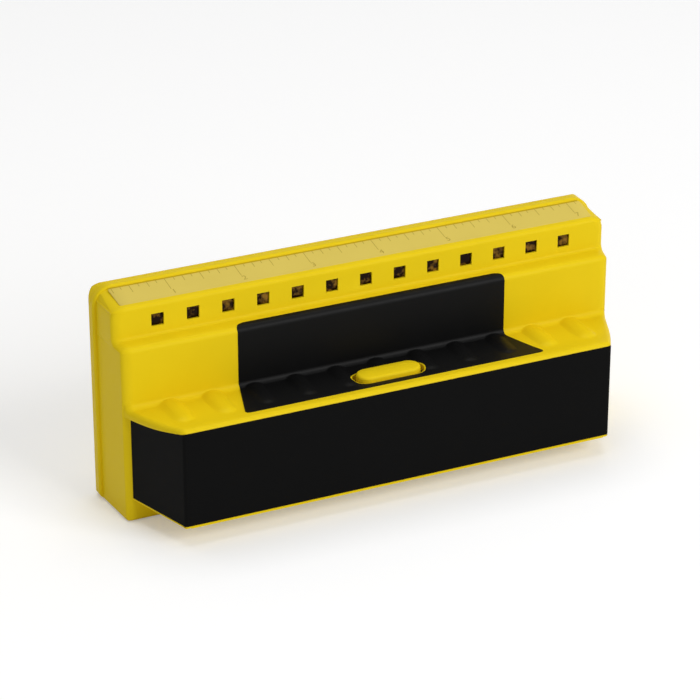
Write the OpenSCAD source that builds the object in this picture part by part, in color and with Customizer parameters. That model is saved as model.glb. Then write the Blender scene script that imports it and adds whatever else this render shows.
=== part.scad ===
// Stud finder: a wall scanner with thirteen indicator windows, an inch ruler and a grip handle
// X runs along the ruler, +Y points into the wall and +Z is up, with the bottom edge on Z = 0

/* [Body] */
// Length over the flange
body_length = 188.2; // [184:0.2:200]
// Height over the flange
body_height = 79.6; // [78:0.2:86]
// Depth from the wall face to the front of the handle
body_depth = 50; // [49:0.5:56]
// Thickness of the casing walls
wall = 2.2; // [1.8:0.1:2.5]
// Depth of the handle in front of the grip wall
handle_depth = 24; // [23.5:0.5:27]
// Depth of the rear cover
rear_cover_depth = 4; // [3.8:0.1:4.6]
// Thickness of the rear cover's flat floor
rear_floor = 2.4; // [2:0.1:2.8]
// Radius along the rear cover's outer edge
rear_edge_radius = 3.6; // [1:0.1:3.7]
// Depth of the flange on the front housing
flange_depth = 2.7; // [2:0.1:3.5]
// How far the flange stands out from each side
flange_step = 0.7; // [0.3:0.1:1.2]
// How far each side draws in between the flange and the grip wall
side_draft = 2.4; // [0.4:0.2:3.6]
// Corner radius at the top of the flange
top_corner_radius = 7.5; // [5:0.5:7.5]
// Corner radius at the bottom of the flange
bottom_corner_radius = 3; // [1:0.5:4]
// Radius of the upright front edges
upright_edge_radius = 2; // [0.8:0.2:3]

/* [Indicator bar] */
// Number of indicator windows
window_count = 13; // [7:2:13]
// Distance from each end of the flange to the nearest window's centre
window_margin = 17.9; // [17:0.1:24]
// Side of a square indicator window
window_size = 4.5; // [3.5:0.1:5.5]
// Height of the window centres above the ledge
window_rise = 5.4; // [4.6:0.1:6.2]
// Height of the indicator bar above the ledge
bar_height = 11.6; // [11:0.1:13]
// How far the bar is set back from the grip wall
bar_setback = 6; // [5:0.5:7]
// How far the lenses sit behind the bar's face
lens_recess = 1; // [0.6:0.1:1.4]
// Radius of the lenses' domed fronts
lens_dome = 5; // [4:0.5:8]
// Thickness of the strip that carries the lenses
lens_strip_depth = 1; // [0.8:0.1:1.4]
// Radius along the bar's top edge
bar_edge_radius = 1.4; // [0.6:0.2:2]
// Radius along the ledge's front edge
ledge_edge_radius = 1.6; // [1.4:0.1:2.4]
// Fall of the ledge from the bar to the grip wall
ledge_fall = 0.8; // [0:0.1:1.2]

/* [Ruler] */
// Height of the rim behind the ruler
rim_height = 0.6; // [0.4:0.1:1.6]
// Fall of the ruler face from the rim to the bar
ruler_fall = 2.1; // [1:0.1:2.6]
// Distance from each end of the flange to the ruler strip
ruler_margin = 5.2; // [5:0.1:6.5]
// Thickness of the ruler strip
ruler_thickness = 0.5; // [0.3:0.1:0.8]
// Plain border in front of and behind the ruler strip
ruler_border = 0.8; // [0.4:0.1:1.5]

/* [Handle] */
// Height of the handle's underside above the bottom edge
handle_rise = 7; // [5:0.5:8]
// Height of the shelf's front edge above the bottom edge
shelf_height = 43.4; // [43:0.2:47]
// How far the handle's rear corners sit in from the grip wall's ends
handle_inset = 1.7; // [1:0.1:3]
// How far each end of the handle draws in between the grip wall and the front panel
handle_taper = 9.5; // [6:0.5:11]
// Width of the plain stripe along the shelf's front edge
stripe_width = 3.7; // [3.4:0.1:4.2]
// Depth of the shallow dish behind the stripe
dish_depth = 0.8; // [0.6:0.1:1.2]
// Radius of the cove between the shelf and the grip wall
cove_radius = 2.2; // [1.8:0.1:2.6]
// Radius along the shelf's front and end edges
shelf_edge_radius = 1.8; // [1.2:0.1:2]
// How far the shelf's front edge stands above the front panel
shelf_rise = 1.2; // [0.8:0.1:1.6]
// Radius along the handle's lower front edge and its front corners
lip_radius = 0.5; // [0.2:0.1:0.6]
// Lip of the housing that shows below the front panel
lip_height = 0.7; // [0.6:0.1:1]
// Thickness of the handle cover
cover_thickness = 2; // [1.6:0.1:2.2]
// How far the handle cover's wings dip below the dish
wing_dip = 3.7; // [3.2:0.1:4.2]
// How far in front of the grip wall the wings are lowest
wing_low_run = 4; // [3:0.5:7]

/* [Grip] */
// Thickness of the grip insert
insert_thickness = 1; // [0.8:0.1:1.1]
// Width of the grip insert on the wall
insert_wall_width = 100.2; // [94:0.2:104]
// Width of the grip insert at the stripe
insert_front_width = 112.4; // [108:0.2:116]
// How far the insert laps onto the ledge
insert_lap = 3; // [2.2:0.1:3.6]
// Number of finger ridges
ridge_count = 11; // [5:2:11]
// Spacing of the finger ridges
ridge_pitch = 15.1; // [14.6:0.1:15.6]
// Radius of a finger ridge
ridge_radius = 4.2; // [3.6:0.1:4.6]
// Height of a ridge's crest above the dish's lowest line
ridge_height = 1.8; // [1.4:0.1:2.2]
// Distance from the stripe to a ridge's round front end
ridge_margin = 3.3; // [2.5:0.1:5]

/* [Power button] */
// Length of the button
button_length = 23.5; // [18:0.5:24]
// Width of the button
button_width = 8; // [7:0.2:9]
// Distance from the front of the handle to the button's centre
button_setback = 12.1; // [11.6:0.1:12.6]
// Height of the button above the dish's lowest line
button_rise = 3; // [2.6:0.1:3.6]
// Travel of the button
button_travel = 1; // [0.5:0.1:1.2]
// Gap at each end of the button
button_end_gap = 1.8; // [0.5:0.1:2]
// Gap along each side of the button
button_side_gap = 0.8; // [0.4:0.1:1]
// Wall of the collar around the button, flush with the grip insert
collar_wall = 0.6; // [0.5:0.1:0.8]
// Radius of the button's crowned top
button_crown = 20; // [12:1:40]
// Thickness of the button's retaining flange
button_flange = 1.6; // [1:0.1:2]

/* [Power] */
// Diameter of a battery cell
cell_diameter = 14.5; // [14:0.1:14.5]
// Length of a battery cell over its nub
cell_length = 50.5; // [49:0.1:51]
// Room for the compressed battery spring
spring_room = 4; // [3.4:0.1:5]
// Thickness of the battery door
door_thickness = 2; // [1.8:0.1:2.4]
// Margin between the battery door's ends and the front corners
door_margin = 1.9; // [1.6:0.1:4]
// Ledge that the battery door rests against
door_ledge = 1.4; // [1.2:0.1:2]
// Wall of the battery tray
tray_wall = 1.4; // [1.2:0.1:1.6]
// Diameter of the leads
lead_diameter = 1.6; // [1.2:0.1:1.8]

/* [Electronics] */
// Distance from each end of the flange to the sensor board
board_margin = 14.1; // [13.5:0.1:20]
// Gap between the sensor board and the screw pads below it
board_low_gap = 0.7; // [0.5:0.1:3]
// Thickness of the circuit boards
board_thickness = 1.6; // [1.2:0.1:1.6]
// Gap between the sensor board and the rear cover's floor
board_gap = 2; // [1.6:0.1:2.4]
// Side of the push switch
switch_side = 6.2; // [5.8:0.1:7]
// Height of the push switch
switch_height = 3.4; // [3:0.1:3.6]

/* [Fit] */
// Gap between fixed pieces
fit_gap = 0.15; // [0.1:0.05:0.2]
// Gap around moving pieces
slide_gap = 0.3; // [0.25:0.05:0.4]

/* [Hidden] */
$fn = 48;

casing_yellow = [0.88, 0.74, 0.11];
grip_black = [0.1, 0.1, 0.1];
board_green = [0.05, 0.3, 0.15];
metal_grey = [0.72, 0.72, 0.7];
arc_steps = 8;
over = 1;
tiny = 0.05;

// Planes across the depth, from the wall face to the front panel
half_length = body_length / 2;
window_pitch = (body_length - 2 * window_margin) / (window_count - 1);
ruler_length = body_length - 2 * ruler_margin;
rear_y = body_depth / 2;
parting_y = rear_y - rear_cover_depth;
flange_y = parting_y - flange_depth;
front_y = -body_depth / 2;
grip_y = front_y + handle_depth;
bar_y = grip_y + bar_setback;
cove_y = grip_y - cove_radius;
stripe_y = front_y + stripe_width;
insert_top_y = grip_y + insert_lap;
panel_back_y = front_y + cover_thickness + fit_gap;
panel_inner_y = panel_back_y + wall;

// Levels up the height
ruler_back_z = body_height - rim_height;
bar_top_z = ruler_back_z - ruler_fall;
ledge_z = bar_top_z - bar_height;
window_z = ledge_z + window_rise;
dish_z = shelf_height - dish_depth;
door_top_z = handle_rise + door_thickness;
handle_floor_z = door_top_z + fit_gap + door_ledge;

// Half lengths of the casing's steps
side_half = half_length - flange_step;
grip_half = side_half - side_draft;
handle_half = grip_half - handle_inset;
panel_half = handle_half - handle_taper;
door_half = panel_half - door_margin;

// The dished part of the shelf is an arc through the stripe's rear edge, level at the foot of the cove
dish_run = cove_y - stripe_y;
dish_radius = (pow(dish_run, 2) + pow(dish_depth, 2)) / (2 * dish_depth);
dish_angle = asin(dish_run / dish_radius);
shelf_skin = wall + insert_thickness;

// The wings of the handle cover follow a long arc, lowest a little in front of the grip wall
wing_low_y = grip_y - wing_low_run;
wing_low_z = dish_z - wing_dip;
wing_run = wing_low_y - front_y;
wing_climb = shelf_height - shelf_rise - wing_low_z;
wing_radius = (pow(wing_run, 2) + pow(wing_climb, 2)) / (2 * wing_climb);

// Screw bosses in the front housing, and the pads that meet them on the rear cover
boss_diameter = 6;
pad_diameter = 8;
screw_low_z = 7.5;

// The sensor board lies close behind the wall face
board_back_y = rear_y - rear_floor - board_gap;
board_y = board_back_y - board_thickness;
board_length = body_length - 2 * board_margin;
board_top_z = window_z + window_size;
board_low_z = screw_low_z + pad_diameter / 2 + board_low_gap;
board_height = board_top_z - board_low_z;
shroud_wall = 1.3;
shroud_half = window_x(window_count - 1) + window_size / 2 + shroud_wall;
led_size = [3.2, 1.6, 2.8];
chip_size = [10, 1.5, 10];
chip_x = -24;
chip_z = 50;
capacitor_x = -44;
connector_size = [13, 6, 5];
connector_z = 30;
connector_pitch = 3;
connector_front_y = board_y - connector_size.y;

// Two cells lie end to end under the shelf, between the front panel and the grip wall
cell_gap = 0.4;
contact_thickness = 0.4;
nub_length = 1;
nub_diameter = 5.5;
rib_height = 0.6;
cell_y = (panel_inner_y + grip_y) / 2;
cell_z = door_top_z + rib_height + cell_gap / 2 + cell_diameter / 2;
tray_bore = cell_diameter + 2 * cell_gap;
tray_half = cell_length + spring_room / 2 + contact_thickness;
tray_end_half = tray_half + tray_wall;
tray_width = tray_bore + 2 * tray_wall;
tray_low_z = door_top_z + fit_gap + rib_height;
tray_roof_z = cell_z + cell_diameter / 2 + cell_gap;
tray_top_z = tray_roof_z + tray_wall;
cell_left_x = -tray_half + contact_thickness + spring_room;
cell_right_x = cell_left_x + cell_length;
contact_width = 10;
tab_width = 3;
tab_rise = 3;
tab_top_z = tray_top_z + tab_rise;
ear_length = 13;
ear_hole_x = tray_end_half + ear_length / 2;

// The push switch stands on its own small board, on top of the battery tray
button_y = front_y + button_setback;
flange_top_z = dish_z - shelf_skin - slide_gap;
flange_low_z = flange_top_z - button_flange;
switch_stroke_gap = 0.3;
switch_top_z = flange_low_z - tiny - button_travel - switch_stroke_gap;
switch_low_z = switch_top_z - switch_height;
switch_board_z = switch_low_z - board_thickness;
switch_board_size = [36, 13];
switch_floor = 0.4;
plunger_diameter = 3.4;
flange_border = 1.2;
post_inset = 2.5;
post_x = switch_board_size.x / 2 - post_inset;
post_diameter = 3.6;

// Screws: self-tapping, each in a boss with its own pilot bore
screw_diameter = 2.6;
screw_head = [5.4, 1.8];
screw_recess = 0.3;
screw_length = 10;
screw_seat_y = rear_y - screw_recess - screw_head.y;
board_screw_diameter = 1.9;
board_screw_head = [3.8, 1.3];
board_screw_bite = 3.2;
screw_inset = 8.1;
screw_mid_x = 29;
housing_screw_spots = [
  for (side = [-1, 1]) each [
    [side * (half_length - screw_inset), screw_low_z, grip_y],
    [side * (half_length - screw_inset), window_z, bar_y],
    [side * screw_mid_x, screw_low_z, grip_y]
  ]
];
board_screw_inset = 10;
board_screw_rise = 8;
board_screw_drop = 19;
board_screw_low_z = board_low_z + board_screw_rise;
board_screw_high_z = board_top_z - board_screw_drop;
board_screw_spots = [
  for (side = [-1, 1], level = [board_screw_low_z, board_screw_high_z])
    [side * (board_length / 2 - board_screw_inset), level]
];
tray_boss_low_z = tray_top_z + fit_gap;
tray_screw_length = 9;

// Routes of the leads, chosen by hand: from each contact tab or the switch board to the lead connector
tab_x = tray_half - contact_thickness / 2 - tiny;
lead_end_gap = 0.1;
lead_run = 2;
outer_lead_x = 1.5 * connector_pitch;
inner_lead_x = 0.5 * connector_pitch;
switch_lead_z = switch_low_z - board_thickness / 2;
switch_board_back_y = button_y + switch_board_size.y / 2;
red_route = concat(
  [for (step = [0:2]) [tab_x, cell_y, tab_top_z + lead_end_gap + step]],
  [[51, -8, 33.5], [45, -2, 33.5], [34, 3, 32.5], [22, 5, 31.5], [12, 5.5, 30.5], [6, 7, 30]],
  connector_run(outer_lead_x)
);
black_route = [for (spot = red_route) [-spot.x, spot.y, spot.z]];
switch_route = concat(
  [for (step = [0:2]) [inner_lead_x, switch_board_back_y + lead_end_gap + step, switch_lead_z]],
  [[inner_lead_x, 2, 28.5], [inner_lead_x, 5, 29.2]],
  connector_run(inner_lead_x)
);

// The straight end of a lead's route, into the lead connector
function connector_run(x) = [
  for (step = [2:-1:0]) [x, connector_front_y - lead_end_gap - lead_run * step, connector_z]
];

// Points along an arc, turning from one angle to another
function arc_points(centre, radius, from, to) = [
  for (i = [0:arc_steps])
    let (turn = from + (to - from) * i / arc_steps)
    [centre.x + radius * cos(turn), centre.y + radius * sin(turn)]
];

// Place of an indicator window along the length
function window_x(i) = (i - (window_count - 1) / 2) * window_pitch;

// Half length of the base's side at a given depth
function side_at(y) = side_half - side_draft * (flange_y - y) / (flange_y - grip_y);

// Half length of the handle at a given depth
function handle_at(y) = panel_half + (handle_half - panel_half) * (y - front_y) / (grip_y - front_y);

// Height of the ledge at a given depth
function ledge_at(y) = ledge_z - ledge_fall * (bar_y - y) / bar_setback;

// Height of the ruler face at a given depth
function ruler_at(y) = ruler_back_z - ruler_fall * (flange_y - y) / (flange_y - bar_y - bar_edge_radius);

// The grip surface from the stripe to the ledge, set below the skin by a given depth
function grip_line(depth) = concat(
  arc_points([cove_y, dish_z + dish_radius], dish_radius + depth, 270 - dish_angle, 270),
  arc_points([cove_y, dish_z + cove_radius], cove_radius + depth, 270, 360),
  arc_points(
    [grip_y + ledge_edge_radius, ledge_at(grip_y + ledge_edge_radius) - ledge_edge_radius],
    max(ledge_edge_radius - depth, tiny), 180, 90
  )
);

// The casing's outline across its depth
function skin_profile() = concat(
  [[parting_y, 0]],
  arc_points([grip_y + lip_radius, lip_radius], lip_radius, 270, 180),
  [[grip_y, handle_rise]],
  arc_points([front_y + lip_radius, handle_rise + lip_radius], lip_radius, 270, 180),
  arc_points(
    [front_y + shelf_edge_radius, shelf_height - shelf_edge_radius], shelf_edge_radius, 180, 90
  ),
  grip_line(0),
  [[bar_y, ledge_z]],
  arc_points([bar_y + bar_edge_radius, bar_top_z - bar_edge_radius], bar_edge_radius, 180, 90),
  [[flange_y, ruler_back_z], [flange_y, body_height], [parting_y, body_height]]
);

// The hollow inside the casing, open towards the rear cover
function hollow_profile() = concat(
  [[parting_y + over, wall], [grip_y + wall, wall], [grip_y + wall, handle_floor_z]],
  [[panel_inner_y, handle_floor_z], [panel_inner_y, grip_line(shelf_skin)[0].y]],
  [
    for (spot = grip_line(shelf_skin))
      if (spot.x > panel_inner_y && spot.y < ledge_z - shelf_skin - over) spot
  ],
  [[grip_y + shelf_skin, ledge_at(grip_y) - shelf_skin], [bar_y + wall, ledge_z - shelf_skin]],
  [[bar_y + wall, bar_top_z - wall], [flange_y, ruler_back_z - wall]],
  [[parting_y + over, ruler_back_z - wall]]
);

// Extrudes an outline drawn in Y and Z along the length
module along_x(length) {
  rotate([90, 0, 90])
    linear_extrude(length, center = true)
      children();
}

// Extrudes an outline drawn in X and Z between two depths
module along_y(from, to) {
  translate([0, to, 0])
    rotate([90, 0, 0])
      linear_extrude(to - from)
        children();
}

// Extrudes a plan drawn in X and Y between two heights
module along_z(from, to) {
  translate([0, 0, from])
    linear_extrude(to - from)
      children();
}

// A round bar along +Y from a point in X and Z
module rod_y(spot, from, to, diameter) {
  translate([spot.x, from, spot.y])
    rotate([-90, 0, 0])
      cylinder(h = to - from, d = diameter);
}

// A plan with two round ends
module pill(length, width) {
  square([length - width, width], center = true);
  for (side = [-1, 1])
    translate([side * (length - width) / 2, 0])
      circle(d = width);
}

// A front view between two levels, with one radius at its lower corners and one at its upper corners
module rounded_plate(half, low, top, low_radius, top_radius) {
  polygon(concat(
    arc_points([half - low_radius, low + low_radius], low_radius, 270, 360),
    arc_points([half - top_radius, top - top_radius], top_radius, 0, 90),
    arc_points([-half + top_radius, top - top_radius], top_radius, 90, 180),
    arc_points([-half + low_radius, low + low_radius], low_radius, 180, 270)
  ));
}

// The flange's front view
module flange_outline(half, top) {
  rounded_plate(half, 0, top, bottom_corner_radius, top_corner_radius);
}

// The front view of the hollow, inside the casing walls and a further gap
module hollow_outline(gap) {
  inset = wall + gap;
  low_radius = max(bottom_corner_radius - inset, tiny);
  top_radius = max(top_corner_radius - inset, tiny);
  rounded_plate(side_half - inset, inset, ruler_back_z - inset, low_radius, top_radius);
}

// A plan that narrows from a rear line to a front line, with rounded front corners
module tapered_plan(rear, rear_half, front, front_half, radius) {
  polygon(concat(
    [[rear_half, rear], [-rear_half, rear]],
    arc_points([-front_half + radius, front + radius], radius, 180, 270),
    arc_points([front_half - radius, front + radius], radius, 270, 360)
  ));
}

// The plan of the handle, drawn in from its outside by a given depth
module handle_plan(depth) {
  rear = grip_y + over;
  tapered_plan(rear, handle_at(rear) - depth, front_y + depth, panel_half - depth, lip_radius);
}

// The solid outside of the front housing
module housing_body() {
  intersection() {
    along_x(body_length) polygon(skin_profile());
    union() {
      along_y(flange_y, parting_y) flange_outline(half_length, body_height);
      intersection() {
        along_y(grip_y, flange_y + tiny) flange_outline(side_half, body_height);
        union() {
          along_z(0, ledge_z)
            tapered_plan(flange_y + tiny, side_half, grip_y, grip_half, upright_edge_radius);
          along_z(0, body_height)
            tapered_plan(flange_y + tiny, side_half, bar_y, side_at(bar_y), upright_edge_radius);
        }
      }
      along_z(handle_rise, shelf_height + cove_radius) handle_plan(0);
    }
  }
}

// Cuts that round the shelf's edge along both ends of the handle
module shelf_end_cuts() {
  slant = atan(handle_taper / handle_depth);
  for (side = [0, 1])
    mirror([side, 0, 0])
      intersection() {
        translate([panel_half, front_y, shelf_height - shelf_edge_radius])
          rotate([0, 0, -slant])
            along_y(-handle_depth, 2 * handle_depth)
              translate([-shelf_edge_radius, 0])
                difference() {
                  square([shelf_edge_radius + over, shelf_edge_radius + cove_radius + over]);
                  circle(r = shelf_edge_radius);
                }
        translate([0, front_y - over, 0])
          cube([body_length, handle_depth + over, body_height]);
      }
}

// The hollow of the front housing
module housing_hollow() {
  skin = cover_thickness + fit_gap + wall;
  rear_half = handle_half - skin;
  front_half = handle_at(panel_inner_y) - skin;
  intersection() {
    along_x(body_length) polygon(hollow_profile());
    along_y(front_y, parting_y + over) hollow_outline(0);
    union() {
      along_z(wall, body_height)
        polygon([
          [side_half - wall, parting_y + over], [side_half - wall, flange_y],
          [grip_half - wall, grip_y + wall], [-grip_half + wall, grip_y + wall],
          [-side_half + wall, flange_y], [-side_half + wall, parting_y + over]
        ]);
      along_z(handle_rise, shelf_height)
        polygon([
          [rear_half, grip_y + wall + tiny], [-rear_half, grip_y + wall + tiny],
          [-front_half, panel_inner_y], [front_half, panel_inner_y]
        ]);
    }
  }
}

// The side view of the handle cover, narrowed by a gap at its top, bottom and rear ends
module cover_side(gap) {
  wing_angle = asin((grip_y - wing_low_y) / wing_radius);
  front_angle = asin((wing_run + over) / wing_radius);
  wing_centre = [wing_low_y, wing_low_z + wing_radius - gap];
  polygon(concat(
    [[grip_y - gap, handle_rise + lip_height + gap], [front_y - over, handle_rise + lip_height + gap]],
    arc_points(wing_centre, wing_radius, 270 - front_angle, 270 + wing_angle)
  ));
}

// The wrap of the handle cover, from the outside to a given depth
module cover_wrap(depth, gap) {
  intersection() {
    along_x(body_length) cover_side(gap);
    difference() {
      along_z(0, body_height) handle_plan(0);
      along_z(-over, body_height + over) handle_plan(depth);
    }
  }
}

// The plan of the grip insert, widened by a gap on each side
module insert_plan(gap) {
  wall_half = insert_wall_width / 2 + gap;
  front_half = insert_front_width / 2 + gap;
  polygon([
    [wall_half, insert_top_y + gap], [-wall_half, insert_top_y + gap], [-wall_half, grip_y - over],
    [-front_half, stripe_y - gap], [front_half, stripe_y - gap], [wall_half, grip_y - over]
  ]);
}

// The layer of the grip surface between two depths below the skin
module grip_layer(upper, lower) {
  along_x(insert_front_width + 2 * over)
    polygon(concat(
      grip_line(upper), [[insert_top_y + over, ledge_at(insert_top_y + over) - upper]],
      [[insert_top_y + over, ledge_at(insert_top_y + over) - lower]],
      [for (i = [len(grip_line(lower)) - 1:-1:0]) grip_line(lower)[i]]
    ));
}

// Places its children at each finger ridge, on the insert or beside it
module at_ridges(on_insert) {
  edge = insert_wall_width / 2;
  for (i = [0:ridge_count - 1]) {
    x = (i - (ridge_count - 1) / 2) * ridge_pitch;
    if ((abs(x) < edge) == on_insert)
      translate([x, 0, 0])
        children();
  }
}

// One finger ridge: a level rod with a ball end, whose crest stands above the dish
module ridge() {
  reach = sqrt(pow(ridge_radius, 2) - pow(ridge_radius - ridge_height, 2));
  front = stripe_y + ridge_margin + reach;
  translate([0, front, dish_z + ridge_height - ridge_radius]) {
    sphere(r = ridge_radius);
    rotate([-90, 0, 0])
      cylinder(h = grip_y - front + over, r = ridge_radius);
  }
}

// The space in which finger ridges may stand: above the grip surface, in front of the grip wall
module ridge_space(depth) {
  along_x(body_length)
    polygon(concat(
      [for (spot = grip_line(depth)) if (spot.y < ledge_z - cove_radius) spot],
      [[stripe_y, dish_z + 2 * ridge_height]]
    ));
}

// The front housing: one moulded shell with the bar, the grip wall and the handle
module front_housing() {
  color(casing_yellow)
    difference() {
      union() {
        difference() {
          housing_body();
          housing_hollow();
        }
        intersection() {
          at_ridges(false) ridge();
          ridge_space(wall / 2);
        }
        for (spot = housing_screw_spots)
          rod_y(spot, spot.z + wall - tiny, parting_y, boss_diameter);
        for (side = [-1, 1])
          translate([side * ear_hole_x, cell_y, tray_boss_low_z])
            cylinder(h = dish_z - wall - tray_boss_low_z, d = boss_diameter);
      }
      cover_wrap(cover_thickness + fit_gap, 0);
      shelf_end_cuts();
      intersection() {
        grip_layer(-over, insert_thickness + tiny);
        along_z(0, body_height)
          difference() {
            insert_plan(fit_gap);
            button_opening(collar_wall);
          }
      }
      indicator_cuts(bar_y - over, bar_y + wall + over);
      ruler_slab(ruler_thickness, over, fit_gap);
      along_z(dish_z - shelf_skin - over, dish_z + cove_radius) button_opening(0);
      along_z(handle_rise - over, door_top_z + fit_gap)
        door_plan(front_y - over, grip_y, door_half + fit_gap);
      along_z(door_top_z, handle_floor_z + over)
        door_plan(panel_inner_y, grip_y, door_half - door_ledge);
      for (spot = housing_screw_spots)
        rod_y(spot, parting_y - screw_length, parting_y + over, screw_diameter + tiny);
      for (side = [-1, 1])
        translate([side * ear_hole_x, cell_y, tray_boss_low_z - over])
          cylinder(h = tray_screw_length, d = screw_diameter + tiny);
    }
}

// The plan of the opening around the power button, widened by a border
module button_opening(border) {
  translate([0, button_y])
    pill(button_length + 2 * (button_end_gap + border), button_width + 2 * (button_side_gap + border));
}

// Square cuts for the row of windows, between two depths
module indicator_cuts(from, to) {
  for (i = [0:window_count - 1])
    translate([window_x(i) - window_size / 2, from, window_z - window_size / 2])
      cube([window_size, to - from, window_size]);
}

// A plan across the underside of the handle, between two depths
module door_plan(from, to, half) {
  translate([-half, from])
    square([2 * half, to - from]);
}

// A slab along the ruler face, from a depth below it to a rise above it, widened by a gap
module ruler_slab(depth, rise, gap) {
  near_y = bar_y + bar_edge_radius + ruler_border - gap;
  far_y = flange_y - ruler_border + gap;
  along_x(ruler_length + 2 * gap)
    polygon([
      [near_y, ruler_at(near_y) - depth], [far_y, ruler_at(far_y) - depth],
      [far_y, ruler_at(far_y) + rise], [near_y, ruler_at(near_y) + rise]
    ]);
}

// The ruler strip: a thin matt inlay on the sloping top
module ruler_strip() {
  color([0.84, 0.75, 0.33])
    ruler_slab(ruler_thickness - tiny, 0, 0);
}

// The rear cover: a flat tray with rounded edges that slides along the wall
module rear_cover() {
  hollow_y = rear_y - rear_floor;
  bore_end_y = board_back_y + board_screw_bite + fit_gap;
  color(casing_yellow)
    difference() {
      union() {
        difference() {
          rear_body();
          along_y(parting_y - over, hollow_y) hollow_outline(0);
        }
        rear_tongue();
        for (spot = housing_screw_spots)
          rod_y(spot, parting_y, hollow_y + tiny, pad_diameter);
        for (spot = board_screw_spots)
          rod_y(spot, board_back_y, hollow_y + tiny, boss_diameter);
      }
      for (spot = housing_screw_spots) {
        rod_y(spot, parting_y - over, rear_y + over, screw_diameter + 2 * slide_gap);
        rod_y(spot, screw_seat_y, rear_y + over, screw_head.x + 2 * slide_gap);
      }
      for (spot = board_screw_spots)
        rod_y(spot, board_back_y - over, bore_end_y, board_screw_diameter + tiny);
    }
}

// The rear cover's solid outside
module rear_body() {
  edge = rear_edge_radius;
  intersection() {
    along_x(body_length)
      polygon(concat(
        [[parting_y, body_height], [parting_y, 0]],
        arc_points([rear_y - edge, edge], edge, 270, 360),
        arc_points([rear_y - edge, body_height - edge], edge, 0, 90)
      ));
    along_z(0, body_height)
      polygon(concat(
        [[-half_length, parting_y], [half_length, parting_y]],
        arc_points([half_length - edge, rear_y - edge], edge, 0, 90),
        arc_points([-half_length + edge, rear_y - edge], edge, 90, 180)
      ));
    along_y(parting_y, rear_y) flange_outline(half_length, body_height);
  }
}

// A low tongue on the rear cover that locates it inside the front housing
module rear_tongue() {
  tongue_rise = 1.5;
  tongue_wall = 1.2;
  difference() {
    along_y(parting_y - tongue_rise, parting_y + tiny) hollow_outline(fit_gap);
    along_y(parting_y - tongue_rise - over, parting_y + over) hollow_outline(fit_gap + tongue_wall);
  }
}

// The grip insert: a thin textured layer on the grip wall and the shelf
module grip_insert() {
  color(grip_black)
    difference() {
      union() {
        intersection() {
          grip_layer(0, insert_thickness);
          along_z(0, body_height) insert_plan(0);
        }
        intersection() {
          at_ridges(true) ridge();
          ridge_space(insert_thickness / 2);
        }
      }
      along_z(0, body_height) button_opening(collar_wall + fit_gap);
    }
}

// The handle cover: a black wrap around the front and both ends of the handle
module handle_cover() {
  color(grip_black)
    cover_wrap(cover_thickness, fit_gap);
}

// The battery door: the handle's underside, with ribs that bear on the cells and a snap tab at each end
module battery_door() {
  tab = [1.4, 10, 5];
  rib = [1.5, 8];
  tab_place = door_half - door_ledge - slide_gap - tab.x / 2;
  rear = grip_y - fit_gap;
  color(casing_yellow) {
    along_z(handle_rise, handle_rise + lip_height) door_plan(front_y, rear, door_half);
    along_z(handle_rise, door_top_z) door_plan(panel_back_y + wall / 2, rear, door_half);
    for (side = [-1, 1], share = [0.25, 0.75])
      translate([side * share * cell_length - rib.x / 2, cell_y - rib.y / 2, door_top_z - tiny])
        cube([rib.x, rib.y, rib_height + tiny]);
    for (side = [-1, 1])
      translate([side * tab_place - tab.x / 2, cell_y - tab.y / 2, door_top_z - tiny])
        cube(tab);
  }
}

// The power button: a crowned pill on a flange that holds it under the shelf
module power_button() {
  top_z = dish_z + button_rise;
  color(casing_yellow) {
    intersection() {
      along_z(flange_low_z, top_z) translate([0, button_y]) pill(button_length, button_width);
      translate([0, button_y, top_z - button_crown])
        rotate([0, 90, 0])
          cylinder(h = button_length + over, r = button_crown, center = true, $fn = 96);
    }
    along_z(flange_low_z, flange_top_z) button_opening(flange_border);
  }
}

// The lens strip: a clear strip behind the windows, with a domed lens in each
module lens_strip() {
  front = bar_y + wall + fit_gap;
  height = window_size + 2 * shroud_wall;
  side = window_size - 2 * fit_gap;
  color([0.3, 0.2, 0.08]) {
    translate([-shroud_half, front, window_z - height / 2])
      cube([2 * shroud_half, lens_strip_depth, height]);
    for (i = [0:window_count - 1])
      intersection() {
        translate([window_x(i) - side / 2, bar_y, window_z - side / 2])
          cube([side, front - bar_y + tiny, side]);
        translate([window_x(i), bar_y + lens_recess + lens_dome, window_z])
          sphere(r = lens_dome);
      }
  }
}

// The light shroud: a bar of square tunnels from the lenses to the lamps
module light_shroud() {
  front = bar_y + wall + lens_strip_depth + 2 * fit_gap;
  back = board_y - fit_gap;
  height = window_size + 2 * shroud_wall;
  color(casing_yellow)
    difference() {
      translate([-shroud_half, front, window_z - height / 2])
        cube([2 * shroud_half, back - front, height]);
      indicator_cuts(front - over, back + over);
    }
}

// The row of indicator lamps on the sensor board
module indicator_leds() {
  lens = [2.2, 0.3];
  color([0.75, 0.12, 0.1])
    for (i = [0:window_count - 1])
      translate([window_x(i), board_y, window_z]) {
        translate([-led_size.x / 2, -led_size.y, -led_size.z / 2])
          cube(led_size);
        rotate([90, 0, 0])
          cylinder(h = led_size.y + lens.y, d = lens.x);
      }
}

// The sensor board, with its sensing plates towards the wall
module sensor_board() {
  color(board_green)
    difference() {
      translate([-board_length / 2, board_y, board_low_z])
        cube([board_length, board_thickness, board_height]);
      for (spot = board_screw_spots)
        rod_y(spot, board_y - over, board_back_y + over, board_screw_diameter + 2 * slide_gap);
    }
}

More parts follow.
